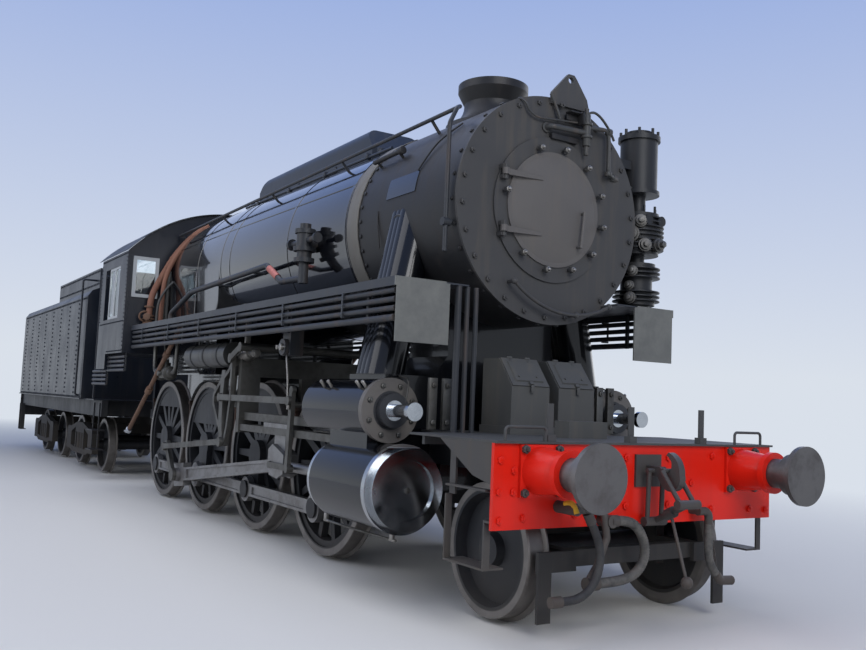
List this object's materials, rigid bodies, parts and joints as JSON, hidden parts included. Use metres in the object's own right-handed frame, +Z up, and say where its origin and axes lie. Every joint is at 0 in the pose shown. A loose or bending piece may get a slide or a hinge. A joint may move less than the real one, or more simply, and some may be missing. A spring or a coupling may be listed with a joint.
{
  "type": "steam locomotive with tender",
  "caption": "Steam goods locomotive with coupled spoked drivers, outside motion, leading truck, opening smokebox door and a swivelling bogie tender.",
  "frame": {"origin": "midway between the buffer faces on the track's centre line, level with the tips of the wheel flanges", "axes": "+X forward along the track, +Y to the engine's left, +Z up"},
  "size_m": [18.59, 2.824, 3.95],
  "materials": {
    "beam_red": "gloss",
    "board_paint": "satin",
    "bogie_paint": "dusty matt",
    "boiler_paint": "gloss",
    "brake_iron": "rusty",
    "buffer_steel": "greased steel",
    "cab_paint": "gloss",
    "cover_steel": "polished",
    "cylinder_paint": "gloss",
    "deck_paint": "satin",
    "door_paint": "matt heat resisting",
    "frame_paint": "semi-gloss",
    "hook_steel": "worn paint on steel",
    "hose_rubber": "ribbed",
    "pipe_paint": "satin",
    "rod_steel": "oiled bright steel",
    "roof_paint": "satin",
    "smokebox_paint": "matt heat resisting",
    "spring_steel": "oiled dark",
    "stock_red": "gloss",
    "tender_paint": "gloss",
    "wheel_paint": "satin, steel tread",
    "window_frame": "satin",
    "window_glass": "clear"
  },
  "bodies": {
    "engine": {"air_pump": "smokebox_paint", "air_reservoirs": "pipe_paint", "boiler_barrel": "boiler_paint", "boiler_fittings": "pipe_paint", "brake_gear": "brake_iron", "buffer_beam": "beam_red", "cab_fittings": "boiler_paint", "cab_glazing": "window_glass", "cab_roof": "roof_paint", "cab_shell": "cab_paint", "cab_windows": "window_frame", "chimney": "smokebox_paint", "connecting_rods": "rod_steel", "crossheads": "rod_steel", "cylinder_covers": "cover_steel", "cylinders": "cylinder_paint", "dome_casing": "boiler_paint", "firebox": "boiler_paint", "front_buffer_heads": "buffer_steel", "front_buffers": "stock_red", "front_coupling": "hook_steel", "front_platform": "deck_paint", "front_steps": "frame_paint", "handrails": "frame_paint", "hose_brake": "hose_rubber", "hose_fittings": "pipe_paint", "hose_left_side": "hose_rubber", "hose_steam": "hose_rubber", "main_frames": "frame_paint", "pipework": "pipe_paint", "running_boards": "board_paint", "slide_bars": "rod_steel", "smokebox": "smokebox_paint", "smokebox_front": "smokebox_paint", "spring_gear": "spring_steel", "steam_pipes": "cylinder_paint", "toolboxes": "deck_paint", "valve_gear": "rod_steel"},
    "pony_truck": {"pony_frame": "frame_paint"},
    "pony_wheelset": {"pony_wheels": "wheel_paint"},
    "driver_1": {"driving_wheels_1": "wheel_paint"},
    "driver_2": {"driving_wheels_2": "wheel_paint"},
    "driver_main": {"driving_wheels_3": "wheel_paint"},
    "driver_4": {"driving_wheels_4": "wheel_paint"},
    "rod_right": {"coupling_rod_right": "rod_steel"},
    "rod_left": {"coupling_rod_left": "rod_steel"},
    "smokebox_door": {"smokebox_door": "door_paint"},
    "lid_right": {"toolbox_lid_right": "deck_paint"},
    "lid_left": {"toolbox_lid_left": "deck_paint"},
    "tender": {"tender_frame": "frame_paint", "tender_tank": "tender_paint", "tender_fittings": "frame_paint", "rear_buffers": "frame_paint"},
    "filler_lid": {"filler_lid": "tender_paint"},
    "bogie_front": {"bogie_frame_front": "bogie_paint"},
    "bogie_rear": {"bogie_frame_rear": "bogie_paint"},
    "tender_axle_1": {"tender_wheels_1": "wheel_paint"},
    "tender_axle_2": {"tender_wheels_2": "wheel_paint"},
    "tender_axle_3": {"tender_wheels_3": "wheel_paint"},
    "tender_axle_4": {"tender_wheels_4": "wheel_paint"}
  },
  "joints": [
    {"name": "pony_swing", "type": "hinge", "parent": "engine", "child": "pony_truck", "pos_m": [6.77, 0, 0.45], "axis": [0, 0, 1], "range_deg": [-4, 4]},
    {"name": "pony_spin", "type": "hinge", "parent": "pony_truck", "child": "pony_wheelset", "pos_m": [8.222, 0, 0.447], "axis": [0, 1, 0], "continuous": true},
    {"name": "main_spin", "type": "hinge", "parent": "engine", "child": "driver_main", "pos_m": [2.71, 0, 0.752], "axis": [0, 1, 0], "continuous": true},
    {"name": "driver_1_spin", "type": "hinge", "parent": "engine", "child": "driver_1", "pos_m": [5.86, 0, 0.752], "axis": [0, 1, 0], "continuous": true},
    {"name": "driver_2_spin", "type": "hinge", "parent": "engine", "child": "driver_2", "pos_m": [4.285, 0, 0.752], "axis": [0, 1, 0], "continuous": true},
    {"name": "driver_4_spin", "type": "hinge", "parent": "engine", "child": "driver_4", "pos_m": [1.135, 0, 0.752], "axis": [0, 1, 0], "continuous": true},
    {"name": "rod_right_turn", "type": "hinge", "parent": "driver_main", "child": "rod_right", "pos_m": [2.71, -0.89, 0.422], "axis": [0, 1, 0], "continuous": true},
    {"name": "rod_left_turn", "type": "hinge", "parent": "driver_main", "child": "rod_left", "pos_m": [3.04, 0.89, 0.752], "axis": [0, 1, 0], "continuous": true},
    {"name": "door_swing", "type": "hinge", "parent": "engine", "child": "smokebox_door", "pos_m": [7.816, -0.475, 2.8], "axis": [0, 0, -1], "range_deg": [0, 120]},
    {"name": "lid_right_lift", "type": "hinge", "parent": "engine", "child": "lid_right", "pos_m": [7.688, -0.213, 1.692], "axis": [0, -1, 0], "range_deg": [0, 75]},
    {"name": "lid_left_lift", "type": "hinge", "parent": "engine", "child": "lid_left", "pos_m": [7.688, 0.213, 1.692], "axis": [0, -1, 0], "range_deg": [0, 75]},
    {"name": "tender_swing", "type": "hinge", "parent": "engine", "child": "tender", "pos_m": [-0.65, 0, 1.05], "axis": [0, 0, 1], "range_deg": [-5, 5]},
    {"name": "filler_lift", "type": "hinge", "parent": "tender", "child": "filler_lid", "pos_m": [-7.22, 0, 2.987], "axis": [0, -1, 0], "range_deg": [0, 100]},
    {"name": "bogie_front_swing", "type": "hinge", "parent": "tender", "child": "bogie_front", "pos_m": [-3.196, 0, 0.9], "axis": [0, 0, 1], "range_deg": [-6, 6]},
    {"name": "bogie_rear_swing", "type": "hinge", "parent": "tender", "child": "bogie_rear", "pos_m": [-6.649, 0, 0.9], "axis": [0, 0, 1], "range_deg": [-6, 6]},
    {"name": "tender_axle_1_spin", "type": "hinge", "parent": "bogie_front", "child": "tender_axle_1", "pos_m": [-2.3325, 0, 0.447], "axis": [0, 1, 0], "continuous": true},
    {"name": "tender_axle_2_spin", "type": "hinge", "parent": "bogie_front", "child": "tender_axle_2", "pos_m": [-4.0595, 0, 0.447], "axis": [0, 1, 0], "continuous": true},
    {"name": "tender_axle_3_spin", "type": "hinge", "parent": "bogie_rear", "child": "tender_axle_3", "pos_m": [-5.7855, 0, 0.447], "axis": [0, 1, 0], "continuous": true},
    {"name": "tender_axle_4_spin", "type": "hinge", "parent": "bogie_rear", "child": "tender_axle_4", "pos_m": [-7.5125, 0, 0.447], "axis": [0, 1, 0], "continuous": true}
  ],
  "couplings": [
    {"joint": "driver_1_spin", "follows": "main_spin", "ratio": 1},
    {"joint": "driver_2_spin", "follows": "main_spin", "ratio": 1},
    {"joint": "driver_4_spin", "follows": "main_spin", "ratio": 1},
    {"joint": "rod_right_turn", "follows": "main_spin", "ratio": -1},
    {"joint": "rod_left_turn", "follows": "main_spin", "ratio": -1}
  ]
}
